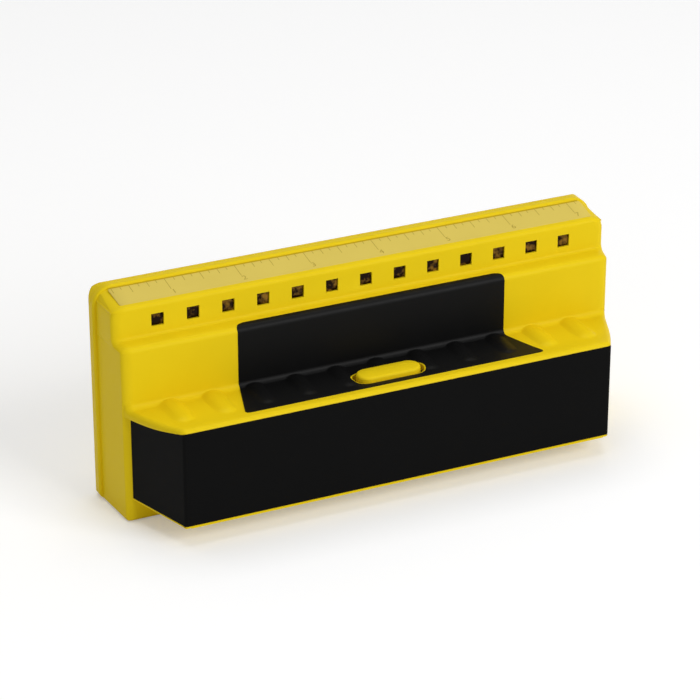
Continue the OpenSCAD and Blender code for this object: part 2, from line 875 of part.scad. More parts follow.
// The microcontroller: a flat package with a row of legs on each edge
module microcontroller() {
  legs = 8;
  leg = [0.4, 0.3, 1.2];
  leg_pitch = 1.1;
  color([0.12, 0.12, 0.13]) {
    translate([chip_x - chip_size.x / 2, board_y - chip_size.y, chip_z - chip_size.z / 2])
      cube(chip_size);
    for (turn = [0:90:270], i = [0:legs - 1])
      translate([chip_x, board_y - leg.y, chip_z])
        rotate([0, turn, 0])
          translate([(i - (legs - 1) / 2) * leg_pitch - leg.x / 2, 0, chip_size.z / 2 - tiny])
            cube(leg);
  }
}

// Small parts on the sensor board: a smoothing capacitor and two rows of chip parts
module board_components() {
  part = [2, 1, 1.25];
  part_pitch = 5;
  parts_in_row = 8;
  first_x = chip_x + chip_size.x + part_pitch;
  capacitor = [6.3, 7];
  color([0.55, 0.45, 0.35]) {
    rod_y([capacitor_x, chip_z], board_y - capacitor.y, board_y, capacitor.x);
    for (i = [0:parts_in_row - 1], row = [-1, 1])
      translate([first_x + part_pitch * i, board_y - part.y, chip_z + row * chip_size.z / 2])
        cube(part);
  }
}

// The connector on the sensor board that takes the four leads
module lead_connector() {
  color([0.9, 0.88, 0.8])
    translate([-connector_size.x / 2, connector_front_y, connector_z - connector_size.z / 2])
      cube(connector_size);
}

// The switch board, on two posts of the battery tray
module switch_board() {
  color(board_green)
    along_z(switch_board_z, switch_low_z)
      translate([0, button_y])
        square(switch_board_size, center = true);
}

// The push switch's body, bored for its plunger
module push_switch() {
  color([0.15, 0.15, 0.16])
    difference() {
      along_z(switch_low_z, switch_top_z)
        translate([0, button_y])
          square(switch_side, center = true);
      along_z(switch_low_z + switch_floor, switch_top_z + over)
        translate([0, button_y])
          circle(d = plunger_diameter + 2 * slide_gap);
    }
}

// The push switch's plunger, just under the button
module switch_plunger() {
  plunger_low_z = switch_low_z + switch_floor + slide_gap + button_travel;
  color([0.8, 0.78, 0.7])
    along_z(plunger_low_z, flange_low_z - tiny)
      translate([0, button_y])
        circle(d = plunger_diameter);
}

// The battery tray: a channel open to the door, with an ear at each end and posts for the switch board
module battery_tray() {
  slot = [contact_thickness + 2 * fit_gap, tab_width + 2 * fit_gap];
  color([0.13, 0.13, 0.14])
    difference() {
      union() {
        translate([-tray_end_half, cell_y - tray_width / 2, tray_low_z])
          cube([2 * tray_end_half, tray_width, tray_top_z - tray_low_z]);
        translate([-tray_end_half - ear_length, cell_y - tray_width / 4, tray_roof_z])
          cube([2 * (tray_end_half + ear_length), tray_width / 2, tray_wall]);
        for (side = [-1, 1])
          translate([side * post_x, button_y, tray_top_z - tiny])
            cylinder(h = switch_board_z - tray_top_z + tiny, d = post_diameter);
      }
      translate([-tray_half, cell_y - tray_bore / 2, tray_low_z - over])
        cube([2 * tray_half, tray_bore, tray_roof_z - tray_low_z + over]);
      for (side = [-1, 1]) {
        translate([side * tab_x - slot.x / 2, cell_y - slot.y / 2, tray_roof_z - over])
          cube([slot.x, slot.y, tray_wall + 2 * over]);
        translate([side * ear_hole_x, cell_y, tray_roof_z - over])
          cylinder(h = tray_wall + 2 * over, d = screw_diameter + 2 * slide_gap);
      }
    }
}

// A battery cell with its nub towards +X, from its flat end
module cell(x) {
  translate([x, cell_y, cell_z])
    rotate([0, 90, 0]) {
      cylinder(h = cell_length - nub_length - tiny, d = cell_diameter);
      cylinder(h = cell_length - tiny, d = nub_diameter);
    }
}

module aa_cell_left() {
  color([0.2, 0.28, 0.4]) cell(cell_left_x);
}

module aa_cell_right() {
  color([0.2, 0.28, 0.4]) cell(cell_right_x);
}

// A contact plate against one end of the tray, with a tab up through the roof
module contact_plate(side) {
  x = side * tab_x;
  translate([x - contact_thickness / 2, cell_y - contact_width / 2, cell_z - contact_width / 2])
    cube([contact_thickness, contact_width, contact_width]);
  translate([x - contact_thickness / 2, cell_y - tab_width / 2, cell_z])
    cube([contact_thickness, tab_width, tab_top_z - cell_z]);
}

// The flat contact at the nub end
module flat_contact() {
  color(metal_grey) contact_plate(1);
}

// The spring contact: a plate with a tapering coil that presses on the left cell
module spring_contact() {
  turns = 3;
  wire = 0.8;
  foot_radius = 4.5;
  tip_radius = 2.9;
  rings_per_turn = 12;
  start_x = -tray_half + contact_thickness + wire / 2 - 2 * tiny;
  end_x = cell_left_x - wire / 2 - tiny;
  coil = [
    for (i = [0:turns * rings_per_turn])
      let (
        share = i / (turns * rings_per_turn),
        radius = foot_radius + (tip_radius - foot_radius) * share,
        turn = 360 * turns * share
      )
      [start_x + (end_x - start_x) * share, cell_y + radius * cos(turn), cell_z + radius * sin(turn)]
  ];
  color(metal_grey) {
    contact_plate(-1);
    swept_tube(coil, wire, 6, [1, 0, 0]);
  }
}

function unit(v) = v / norm(v);

// The direction of a path at one of its points
function heading(path, i) = unit(path[min(i + 1, len(path) - 1)] - path[max(i - 1, 0)]);

// A smooth path through a route's points
function smooth_path(route, steps) = [
  for (i = [0:len(route) - 2], k = [0:steps - 1]) blended(route, i, k / steps),
  route[len(route) - 1]
];

// A point part of the way along one stretch of a route
function blended(route, i, t) =
  let (
    before = route[max(i - 1, 0)],
    start = route[i],
    end = route[i + 1],
    after = route[min(i + 2, len(route) - 1)]
  )
  start + 0.5 * t * (end - before + t * (2 * before - 5 * start + 4 * end - after
    + t * (3 * start - before - 3 * end + after)));

// One closed tube swept along a path, with its rings squared to a direction that the path never takes
module swept_tube(path, diameter, sides, reference) {
  last = len(path) - 1;
  points = [
    for (i = [0:last], k = [0:sides - 1])
      let (
        ahead = heading(path, i),
        across = unit(cross(ahead, reference)),
        above = cross(ahead, across),
        turn = 360 * k / sides
      )
      path[i] + diameter / 2 * (cos(turn) * across + sin(turn) * above)
  ];
  walls = [
    for (i = [0:last - 1], k = [0:sides - 1])
      let (next = (k + 1) % sides, here = i * sides)
      each [
        [here + k, here + sides + next, here + next],
        [here + k, here + sides + k, here + sides + next]
      ]
  ];
  ends = [[for (k = [0:sides - 1]) k], [for (k = [sides - 1:-1:0]) last * sides + k]];
  polyhedron(points, concat(walls, ends));
}

// The red lead, from the flat contact to the connector
module red_lead() {
  color([0.75, 0.1, 0.08]) swept_tube(smooth_path(red_route, 2), lead_diameter, 8, [3, 2.5, -3]);
}

// The black lead, from the spring contact to the connector
module black_lead() {
  color([0.08, 0.08, 0.08]) swept_tube(smooth_path(black_route, 2), lead_diameter, 8, [-3, 2.5, -3]);
}

// The two leads from the switch board to the connector
module switch_leads() {
  color([0.85, 0.85, 0.82])
    for (shift = [0, -connector_pitch])
      translate([shift, 0, 0])
        swept_tube(smooth_path(switch_route, 2), lead_diameter, 8, [1, 0, 0]);
}

// A screw along +Z from its seat, with a round head below the seat
module screw(shank, head, length) {
  cylinder(h = length, d = shank);
  translate([0, 0, -head.y])
    difference() {
      cylinder(h = head.y, d = head.x);
      cross_slot(head);
    }
}

// The cross slot in a screw's head
module cross_slot(head) {
  slot = [head.x * 0.64, head.x * 0.14, head.y * 0.5];
  for (turn = [0, 90])
    rotate([0, 0, turn])
      translate([-slot.x / 2, -slot.y / 2, -tiny])
        cube(slot);
}

// The screws that hold the rear cover on the front housing
module housing_screws() {
  color(metal_grey)
    for (spot = housing_screw_spots)
      translate([spot.x, screw_seat_y, spot.y])
        rotate([90, 0, 0])
          screw(screw_diameter, screw_head, screw_length);
}

// The screws that hold the sensor board on the rear cover
module board_screws() {
  color(metal_grey)
    for (spot = board_screw_spots)
      translate([spot.x, board_y, spot.y])
        rotate([-90, 0, 0])
          screw(board_screw_diameter, board_screw_head, board_thickness + board_screw_bite);
}

// The screws that hold the battery tray under the shelf
module tray_screws() {
  color(metal_grey)
    for (side = [-1, 1])
      translate([side * ear_hole_x, cell_y, tray_roof_z])
        screw(screw_diameter, screw_head, tray_screw_length - over);
}

front_housing();
rear_cover();
grip_insert();
handle_cover();
battery_door();
power_button();
ruler_strip();
lens_strip();
light_shroud();
indicator_leds();
sensor_board();
microcontroller();
board_components();
lead_connector();
switch_board();
push_switch();
switch_plunger();
battery_tray();
aa_cell_left();
aa_cell_right();
spring_contact();
flat_contact();
red_lead();
black_lead();
switch_leads();
housing_screws();
board_screws();
tray_screws();
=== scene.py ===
"""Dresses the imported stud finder: moulded shells, ruler marks, materials, studio light and camera."""
import math

import bmesh
import bpy
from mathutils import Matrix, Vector


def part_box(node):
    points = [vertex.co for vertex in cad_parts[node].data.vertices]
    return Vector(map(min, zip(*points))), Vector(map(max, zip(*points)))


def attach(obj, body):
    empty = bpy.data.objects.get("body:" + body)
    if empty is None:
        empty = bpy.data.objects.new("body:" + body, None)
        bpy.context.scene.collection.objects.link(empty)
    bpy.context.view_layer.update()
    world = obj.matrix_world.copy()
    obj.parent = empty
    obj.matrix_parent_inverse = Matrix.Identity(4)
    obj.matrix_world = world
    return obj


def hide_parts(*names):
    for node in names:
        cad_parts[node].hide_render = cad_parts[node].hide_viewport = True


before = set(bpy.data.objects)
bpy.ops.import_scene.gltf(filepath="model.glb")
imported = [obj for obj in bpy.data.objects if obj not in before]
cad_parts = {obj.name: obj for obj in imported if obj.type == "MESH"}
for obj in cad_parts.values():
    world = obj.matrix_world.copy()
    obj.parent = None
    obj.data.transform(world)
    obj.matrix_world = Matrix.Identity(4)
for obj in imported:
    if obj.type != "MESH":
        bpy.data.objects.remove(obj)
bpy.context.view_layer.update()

MM = 0.001


def corners_of(node):
    """A CAD node's lowest and highest corners, in millimetres."""
    return [Vector(corner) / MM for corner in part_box(node)]


# CAD nodes that give the main places. Sizes and places are in millimetres unless a comment says metres
_, housing_high = corners_of("front_housing")
cover_low, cover_high = corners_of("handle_cover")
insert_low, insert_high = corners_of("grip_insert")
door_low, door_high = corners_of("battery_door")
button_low, button_high = corners_of("power_button")
lens_low, lens_high = corners_of("lens_strip")
ruler_low, ruler_high = corners_of("ruler_strip")

# Depths from the middle of the part, towards the wall
FRONT_Y = cover_low.y
STRIPE_Y = insert_low.y
BUTTON_Y = (button_low.y + button_high.y) / 2
GRIP_Y = cover_high.y
INSERT_TOP_Y = insert_high.y
BAR_Y = GRIP_Y + 6.0
PARTING_Y = housing_high.y
FLANGE_Y = PARTING_Y - 2.7

# Heights above the bottom edge
FOOT_Z = 0.25
HANDLE_Z = door_low.z
SHELF_Z = 43.4
DISH_Z = SHELF_Z - 0.8
BODY_HEIGHT = housing_high.z
RULER_BACK_Z = BODY_HEIGHT - 0.6
RULER_FALL = 2.1
RULER_SLOPE = RULER_FALL / 11.9
LEDGE_Z = RULER_BACK_Z - RULER_FALL - 11.6
LEDGE_FRONT_Z = LEDGE_Z - 0.8

# Half lengths along X
HALF_LENGTH = housing_high.x
SIDE_HALF = HALF_LENGTH - 0.7
GRIP_HALF = SIDE_HALF - 2.4
HANDLE_HALF = GRIP_HALF - 1.7
PANEL_HALF = HANDLE_HALF - 9.5
DOOR_HALF = door_high.x

# Walls, and how far one skin runs in behind another or stands proud of it
WALL = 2.2
BASE_WALL_HALF = GRIP_HALF - 5.0
HANDLE_WALL_HALF = DOOR_HALF + 0.5
BASE_TUCK = 0.5
HANDLE_TUCK = 1.0
HANDLE_TUCK_RISE = 0.6
OVERLAY = 0.15

# Radii of the base and the flange
FOOT_EDGE_RADIUS = 1.4
LEDGE_EDGE_RADIUS = 2.2
LEDGE_COVE_RADIUS = 1.4
RULER_EDGE_RADIUS = 1.6
RULER_END_RADIUS = 4.0
RULER_END_LIFT = 0.3
BASE_CORNER_RADIUS = 1.2
TOP_CORNER_RADIUS = 7.5
BOTTOM_CORNER_RADIUS = 3.0
INNER_CORNER_RADIUS = 0.3
CORNER_BLEND = 2.0
FLANGE_EDGE_RADIUS = 0.9
FLANGE_FRONT_LAP = 4.0
FLANGE_REAR_LAP = 3.0
PARTING_GROOVE = 0.12

# Radii of the handle, and the gaps between its arcs
LIP_RADIUS = 0.3
LIP_END_RADIUS = 0.5
SHELF_EDGE_RADIUS = 1.8
SHELF_FRONT_CLEAR = 0.3
SHELF_REAR_CLEAR = 0.2
COVE_RADIUS = 2.2
COVE_SEAM = 0.02

# Soft ends of the base and the handle
END_RADIUS = 1.9
END_STRETCH = 1.8
END_FOOT_RADIUS = 0.6
END_BULGE = 1.45
END_BULGE_RUN = 14.0
END_RISE = 1.45

# Handle cover: a band whose top edge is an arc, lowest near the rear of its wings
COVER_THICKNESS = 1.6
COVER_GAP = 0.15
COVER_CORNER_RADIUS = 1.2
LIP_HEIGHT = 0.9
WING_LOW_Y = GRIP_Y - 1.5
WING_LOW_Z = DISH_Z - 3.0
WING_RADIUS = 97.2

# Grip insert
INSERT_THICKNESS = 0.9
INSERT_WALL_HALF = 50.1
INSERT_FRONT_HALF = insert_high.x
INSERT_FRONT_RADIUS = 1.8
INSERT_TOP_RADIUS = 3.0
INSERT_MIDDLE_Z = 53.0
INSERT_BEND_Y = GRIP_Y + 2.5

# Finger ridges
RIDGE_COUNT = 11
RIDGE_PITCH = 15.1
RIDGE_RADIUS = 6.4
RIDGE_TOP_Z = DISH_Z + 1.4
COVERED_RIDGES = 7
COVERED_RIDGE_TOP_Z = DISH_Z + 0.95
RIDGE_FRONT_Y = -14.55
RIDGE_BLEND = 0.35
FINE_COLUMNS_FROM = 53.0

# Button, its opening and the collar round it. The crown's drops below the top go by inset from the edge
BUTTON_LENGTH = 23.5
BUTTON_WIDTH = 8.0
BUTTON_TOP_Z = 44.9
BUTTON_EDGE_RADIUS = 1.0
BUTTON_EDGE_Z = BUTTON_TOP_Z - 0.25
BUTTON_CROWN_DROPS = {2.2: 0.06, 3.2: 0.0}
BUTTON_FLANGE = 2.7
BUTTON_FLANGE_Z = button_low.z
BUTTON_FLANGE_TOP_Z = BUTTON_FLANGE_Z + 1.6
OPENING_LENGTH = 26.3
OPENING_WIDTH = 9.3
COLLAR = 0.5
CUT_MARGIN = 6.0

# Ruler: a plate let into the sloping face, and flat marks just proud of it. Ticks go by eighths of an inch
INCH = 25.4
RULER_BACK_HALF = ruler_high.x
RULER_FRONT_HALF = RULER_BACK_HALF - 0.5
RULER_CORNER_RADIUS = 0.8
INLAY_THICKNESS = 0.3
INLAY_STEP = 0.06
MARK_LIFT = 0.02
# Painted shade: a dark yellow strip lies on the ruler face along its rear edge, for the shade in the gap
# before the flange. The ticks run back to it.
SHADE_LINE_Y = ruler_high.y - 0.2
SHADE_LINE_WIDTH = 0.7
TICK_WIDTH = 0.22
TICK_LENGTHS = {8: 6.2, 4: 4.0, 2: 2.7, 1: 1.5}
NUMBER_SIZE = 3.36
NUMBER_SHIFT = -0.3
NUMBER_Y = 8.6

# Windows and the domed panes behind them
WINDOW_COUNT = 13
WINDOW_PITCH = INCH / 2
WINDOW_SIZE = 4.5
WINDOW_Z = (lens_low.z + lens_high.z) / 2
WINDOW_LOW_Z = WINDOW_Z - WINDOW_SIZE / 2
WINDOW_HIGH_Z = WINDOW_Z + WINDOW_SIZE / 2
PANE_HALF = WINDOW_SIZE / 2 - 0.02
PANE_Y = BAR_Y + 0.4
PANE_DOME = 0.5
PANE_THICKNESS = lens_high.y - BAR_Y - 0.8
STRIP_THICKNESS = 1.0

# Steps along rounded edges
ARC_STEPS = 8
LIP_STEPS = 4
SHELF_EDGE_STEPS = 10
COVE_STEPS = 14
INSERT_EDGE_STEPS = 12
BASE_END_STEPS = 10
HANDLE_END_STEPS = 8

# Points nearer than this, in metres, are one
SAME_PLACE = 1e-7

# Camera at the photograph's place
CAMERA_PLACE = (-408.5, -862.0, 508.2)
CAMERA_AIM = (-6.01, 5.0, 45.05)
CAMERA_LENS = 159.2
CAMERA_SENSOR = 36.0

# Where the lights aim, and the floor's half size, in metres
LIGHT_AIM = (0, 0, 0.04)
FLOOR_HALF = 6.0


def ruler_z(y):
    """Height of the sloping ruler face at a depth."""
    return RULER_BACK_Z - RULER_SLOPE * (FLANGE_Y - y)


def ledge_z(y):
    """Height of the sloping ledge at a depth."""
    return LEDGE_FRONT_Z + (LEDGE_Z - LEDGE_FRONT_Z) * (y - GRIP_Y) / (BAR_Y - GRIP_Y)


def side_at(y):
    """Half length of the base at a depth: its sides curve in towards the front."""
    return SIDE_HALF - (SIDE_HALF - GRIP_HALF) * ((FLANGE_Y - y) / (FLANGE_Y - GRIP_Y)) ** 2


def handle_share(y):
    """Place between the handle's front and the grip wall, from 0 to 1."""
    return (y - FRONT_Y) / (GRIP_Y - FRONT_Y)


def handle_at(y):
    """Half length of the handle at a depth."""
    return PANEL_HALF + (HANDLE_HALF - PANEL_HALF) * handle_share(y)


def drawn_in(near, radius):
    """How far a rounded corner draws in, at a distance from the edge beside it."""
    left = max(radius - max(near, 0), 0)
    return radius - math.sqrt(radius ** 2 - left ** 2)


def soft_min(a, b, blend):
    """The smaller of two values, with a smooth change from one to the other."""
    share = max(blend - abs(a - b), 0) / blend
    return min(a, b) - share * share * blend / 4


def soft_max(a, b, blend):
    """The larger of two values, with a smooth change from one to the other."""
    return -soft_min(-a, -b, blend)


def base_at(p):
    """Half length of the base at a (y, z) point, with rounded corners above and below."""
    below = drawn_in(p.y, BASE_CORNER_RADIUS)
    above = drawn_in(BODY_HEIGHT - p.y, TOP_CORNER_RADIUS)
    ruler_end = drawn_in(ruler_z(p.x) + RULER_END_LIFT - p.y, RULER_END_RADIUS)
    return soft_min(side_at(p.x) - ruler_end, SIDE_HALF - below - above, CORNER_BLEND)


def base_end_radius(p):
    """Radius of the base's end edge at a (y, z) point: small along the bottom."""
    return END_FOOT_RADIUS + (END_RADIUS - END_FOOT_RADIUS) * min(p.y / END_RADIUS, 1)


def spread(start, end, count):
    """Evenly spaced values from start to end, both included."""
    return [start + (end - start) * i / (count - 1) for i in range(count)]


def corner_points(before, corner, after, radius, steps):
    """Points of the arc that rounds one corner."""
    into = (corner - before).normalized()
    out = (after - corner).normalized()
    turn = into.angle_signed(out)
    reach = radius * math.tan(abs(turn) / 2)
    first = corner - into * reach
    side = Vector((-into.y, into.x)) * (1 if turn < 0 else -1)
    centre = first + side * radius
    arm = first - centre
    points = []
    for angle in spread(0, -turn, count=steps + 1):
        cos, sin = math.cos(angle), math.sin(angle)
        points.append(centre + Vector((arm.x * cos - arm.y * sin, arm.x * sin + arm.y * cos)))
    return points


def rounded_line(corners, inset=0.0):
    """Points of a line through (y, z, radius, steps) corners.

    The solid is on the line's right, and inset moves the line into it.
    """
    smallest_radius = 0.05
    spots = [Vector(corner[:2]) for corner in corners]
    runs = [(b - a).normalized() for a, b in zip(spots, spots[1:])]
    inward = [Vector((run.y, -run.x)) for run in runs]
    moved = [spots[0] + inward[0] * inset]
    for spot, a, b in zip(spots[1:-1], inward, inward[1:]):
        moved.append(spot + (a + b) * inset / (1 + a.dot(b)))
    moved.append(spots[-1] + inward[-1] * inset)
    points = [moved[0]]
    for i in range(1, len(corners) - 1):
        radius, steps = corners[i][2:]
        if not steps:
            points.append(moved[i])
            continue
        convex = runs[i - 1].cross(runs[i]) < 0
        fitted = max(radius - inset, smallest_radius) if convex else radius + inset
        points += corner_points(moved[i - 1], moved[i], moved[i + 1], fitted, steps)
    return points + [moved[-1]]


def outward(line):
    """Outward direction at each point of a line that has the solid on its right."""
    directions = []
    for i in range(len(line)):
        run = line[min(i + 1, len(line) - 1)] - line[max(i - 1, 0)]
        directions.append(Vector((-run.y, run.x)).normalized())
    return directions


def end_rings(line, half_at, radius_at, stretch_at, steps):
    """Rings of (x, y, z) that round one +X end, from the skin to the flat end."""
    away = outward(line)
    radii = [radius_at(p) for p in line]
    runs = [radius * stretch_at(p) for radius, p in zip(radii, line)]
    rings = []
    for turn in spread(0, math.pi / 2, count=steps + 1):
        ring = []
        for p, direction, radius, run in zip(line, away, radii, runs):
            spot = p - direction * radius * (1 - math.cos(turn))
            ring.append((half_at(spot) - run * (1 - math.sin(turn)), spot.x, spot.y))
        rings.append(ring)
    return rings


def mirrored(ring):
    """The same ring at the -X end."""
    return [(-x, y, z) for x, y, z in ring]


def whole_length(line, stations, end):
    """Columns from the -X end to the +X end: a line repeated at stations, between two like ends."""
    middle = [[(x, p.x, p.y) for p in line] for x in stations]
    return [mirrored(ring) for ring in end[::-1]] + middle + end


def new_object(name, mesh):
    """A smooth-shaded object in the scene, holding a mesh."""
    mesh.shade_smooth()
    obj = bpy.data.objects.new(name, mesh)
    bpy.context.collection.objects.link(obj)
    return obj


def object_from(name, shape):
    """A smooth-shaded object made from a finished shape, which is freed."""
    mesh = bpy.data.meshes.new(name)
    shape.to_mesh(mesh)
    shape.free()
    return new_object(name, mesh)


def skin(name, columns, caps=False, dropped=lambda column, row: False):
    """A surface of quads over columns of (x, y, z) points in millimetres, with flat ends if asked."""
    shape = bmesh.new()
    lines = [[shape.verts.new(Vector(p) * MM) for p in column] for column in columns]
    for i, (left, right) in enumerate(zip(lines, lines[1:])):
        for k in range(len(left) - 1):
            if not dropped(i, k):
                shape.faces.new((left[k], right[k], right[k + 1], left[k + 1]))
    if caps:
        shape.faces.new(lines[0])
        shape.faces.new(lines[-1][::-1])
    loose = [v for v in shape.verts if not v.link_faces]
    bmesh.ops.delete(shape, geom=loose, context="VERTS")
    bmesh.ops.remove_doubles(shape, verts=shape.verts, dist=SAME_PLACE)
    bmesh.ops.dissolve_degenerate(shape, dist=SAME_PLACE, edges=shape.edges)
    return object_from(name, shape)


def flat_faces(name, faces):
    """An object of separate flat faces, each given by its corners in metres."""
    shape = bmesh.new()
    for corners in faces:
        shape.faces.new([shape.verts.new(corner) for corner in corners])
    return object_from(name, shape)


def close_ends(obj):
    """Closes the open ends of a skin and turns its faces outward."""
    shape = bmesh.new()
    shape.from_mesh(obj.data)
    bmesh.ops.holes_fill(shape, edges=shape.edges)
    bmesh.ops.recalc_face_normals(shape, faces=shape.faces)
    shape.to_mesh(obj.data)
    shape.free()
    obj.data.shade_smooth()


def solidify(obj, thickness, reach=HALF_LENGTH):
    """Gives a skin a wall on its inner side, thinned to a tenth beyond a half length."""
    group = obj.vertex_groups.new(name="wall")
    group.add([v.index for v in obj.data.vertices if abs(v.co.x) < reach * MM], 1.0, "REPLACE")
    wall = obj.modifiers.new("wall", "SOLIDIFY")
    wall.thickness = thickness * MM
    wall.offset = -1
    wall.vertex_group = group.name
    wall.thickness_vertex_group = 0.1


def bevel(obj, width, angle=50, segments=2):
    """Rounds an object's sharp edges a little."""
    edge = obj.modifiers.new("edge", "BEVEL")
    edge.width = width * MM
    edge.segments = segments
    edge.limit_method = "ANGLE"
    edge.angle_limit = math.radians(angle)
    edge.use_clamp_overlap = True
    edge.harden_normals = True


def even_normals(obj):
    """Keeps large flat faces flat beside small rounded edges."""
    weighted = obj.modifiers.new("normals", "WEIGHTED_NORMAL")
    weighted.keep_sharp = True


def bake(obj):
    """Turns an object's modifiers into its mesh."""
    graph = bpy.context.evaluated_depsgraph_get()
    mesh = bpy.data.meshes.new_from_object(obj.evaluated_get(graph))
    obj.modifiers.clear()
    obj.data = mesh


def cut(obj, cutter):
    """Cuts one object out of another, and deletes the cutter."""
    step = obj.modifiers.new("cut", "BOOLEAN")
    step.operation = "DIFFERENCE"
    step.solver = "EXACT"
    step.object = cutter
    bake(obj)
    bpy.data.objects.remove(cutter)


def joined(name, parts):
    """One object made of several, which are deleted."""
    shape = bmesh.new()
    for part in parts:
        bake(part)
        shape.from_mesh(part.data)
        bpy.data.objects.remove(part)
    return object_from(name, shape)


def sharpen(obj, angle=38):
    """Marks the edges that stay crisp."""
    obj.data.set_sharp_from_angle(angle=math.radians(angle))


def pill_outline(length, width, steps=14):
    """Points round a plan with two half-round ends, centred on the button, back to the first one."""
    radius = width / 2
    points = []
    for side in (1, -1):
        for turn in spread(-math.pi / 2, math.pi / 2, count=steps + 1):
            x = side * ((length - width) / 2 + radius * math.cos(turn))
            points.append((x, BUTTON_Y + side * radius * math.sin(turn)))
    return points + points[:1]


def cut_opening(obj, grow=0.0):
    """Cuts the button's opening through an object, wider by grow on every side."""
    outline = pill_outline(OPENING_LENGTH + 2 * grow, OPENING_WIDTH + 2 * grow)
    columns = [[(x, y, DISH_Z - CUT_MARGIN), (x, y, SHELF_Z + CUT_MARGIN)] for x, y in outline]
    cutter = skin("cutter", columns)
    close_ends(cutter)
    cut(obj, cutter)


def shelf_z(y):
    """Height of the shelf at a depth: a flat stripe in front of a shallow dish."""
    foot = GRIP_Y - COVE_RADIUS
    run = foot - STRIPE_Y
    fall = SHELF_Z - DISH_Z
    radius = (run ** 2 + fall ** 2) / (2 * fall)
    reach = min(max(foot - y, 0), run)
    return DISH_Z + radius - math.sqrt(radius ** 2 - reach ** 2)


def wing_top(y):
    """Height of the handle cover's top edge at a depth."""
    return WING_LOW_Z + WING_RADIUS - math.sqrt(WING_RADIUS ** 2 - (y - WING_LOW_Y) ** 2)


def ridge_lift(x, y, z):
    """Height of the shelf at a point, lifted where a finger ridge stands above it."""
    nearest = round(x / RIDGE_PITCH)
    if y > GRIP_Y or z > RIDGE_TOP_Z + RIDGE_BLEND or abs(nearest) > RIDGE_COUNT // 2:
        return z
    away = math.hypot(x - nearest * RIDGE_PITCH, max(RIDGE_FRONT_Y - y, 0))
    if away >= RIDGE_RADIUS:
        return z
    crest = COVERED_RIDGE_TOP_Z if abs(nearest) <= COVERED_RIDGES // 2 else RIDGE_TOP_Z
    rise = crest - RIDGE_RADIUS + math.sqrt(RIDGE_RADIUS ** 2 - away ** 2)
    return soft_max(rise, z, RIDGE_BLEND)


def with_ridges(columns, above=0.0):
    """Columns of points with the finger ridges raised on them, for a skin that lies above the shelf."""
    return [[(x, y, ridge_lift(x, y, z - above) + above) for x, y, z in column] for column in columns]


def window_centres():
    """Places of the windows along the bar."""
    first = -(WINDOW_COUNT - 1) / 2 * WINDOW_PITCH
    return [first + WINDOW_PITCH * i for i in range(WINDOW_COUNT)]


def window_edges():
    """Left and right edges of the row of windows."""
    return [x + side * WINDOW_SIZE / 2 for x in window_centres() for side in (-1, 1)]


def base_corners():
    """Corners of the base's outline across its depth, from its bottom to the back of its ruler face."""
    inside = FLANGE_Y + BASE_TUCK
    return [
        (inside, FOOT_Z, 0, 0),
        (GRIP_Y, FOOT_Z, FOOT_EDGE_RADIUS, ARC_STEPS),
        (GRIP_Y, LEDGE_FRONT_Z, LEDGE_EDGE_RADIUS, ARC_STEPS),
        (BAR_Y, LEDGE_Z, LEDGE_COVE_RADIUS, ARC_STEPS),
        (BAR_Y, WINDOW_LOW_Z, 0, 0),
        (BAR_Y, WINDOW_HIGH_Z, 0, 0),
        (BAR_Y, ruler_z(BAR_Y) - INLAY_STEP, RULER_EDGE_RADIUS, ARC_STEPS),
        (inside, ruler_z(inside) - INLAY_STEP, 0, 0),
    ]


def housing_base():
    """The base: bottom, grip wall, ledge, indicator bar and ruler face, with its windows open."""
    line = rounded_line(base_corners())
    window_row = next(i for i, p in enumerate(line) if math.isclose(p.y, WINDOW_LOW_Z, abs_tol=0.001))
    rings = end_rings(line, base_at, base_end_radius, lambda p: END_STRETCH, BASE_END_STEPS)
    inside = line[0].x
    rings.append([(base_at(Vector((inside, z))), inside, z) for _, _, z in rings[-1]])
    stations = window_edges()
    openings = range(len(rings), len(rings) + len(stations), 2)

    def window(column, row):
        return row == window_row and column in openings

    base = skin("base", whole_length(line, stations, rings), dropped=window)
    solidify(base, WALL, BASE_WALL_HALF)
    bevel(base, width=0.2)
    return base


def shelf_corners():
    """Plain points along the shelf, clear of the rounded corners at its front and its rear."""
    near = FRONT_Y + OVERLAY + SHELF_EDGE_RADIUS + SHELF_FRONT_CLEAR
    far = GRIP_Y - COVE_RADIUS - SHELF_REAR_CLEAR
    return [(y, shelf_z(y), 0, 0) for y in spread(near, far, count=46)]


def handle_corners():
    """Corners of the handle's outline across its depth, from its underside to the cove."""
    front = FRONT_Y + OVERLAY
    inside = GRIP_Y + HANDLE_TUCK
    cove_top = DISH_Z + COVE_RADIUS
    return [
        (inside, HANDLE_Z, 0, 0),
        (front, HANDLE_Z, LIP_RADIUS, LIP_STEPS),
        (front, SHELF_Z, SHELF_EDGE_RADIUS, SHELF_EDGE_STEPS),
        *shelf_corners(),
        (GRIP_Y, DISH_Z, COVE_RADIUS, COVE_STEPS),
        (GRIP_Y, cove_top + COVE_SEAM, 0, 0),
        (inside, cove_top + HANDLE_TUCK_RISE, 0, 0),
    ]


def cove_share(p):
    """Place of a (y, z) point on the way up the cove, from 0 on the shelf to 1 at the grip wall."""
    if p.x < GRIP_Y - COVE_RADIUS:
        return 0
    return min(max((p.y - DISH_Z) / COVE_RADIUS, 0), 1)


def handle_end_radius(p):
    """Radius of the handle's end edge: small at the lip, soft on the shelf, the base's own up the cove."""
    foot = min((p.y - HANDLE_Z) / LIP_RADIUS, 1)
    upright = LIP_END_RADIUS + (COVER_CORNER_RADIUS - OVERLAY - LIP_END_RADIUS) * foot
    rise = min(max((p.y - SHELF_Z + SHELF_EDGE_RADIUS) / SHELF_EDGE_RADIUS, 0), 1)
    on_shelf = rise if p.x < STRIPE_Y else foot
    radius = upright + (SHELF_EDGE_RADIUS - upright) * on_shelf
    return radius + (END_RADIUS - radius) * cove_share(p)


def handle_end_stretch(p):
    """How far the handle's end edge is drawn out along X: as far as the base's at the top of the cove."""
    return 1 + (END_STRETCH - 1) * cove_share(p)


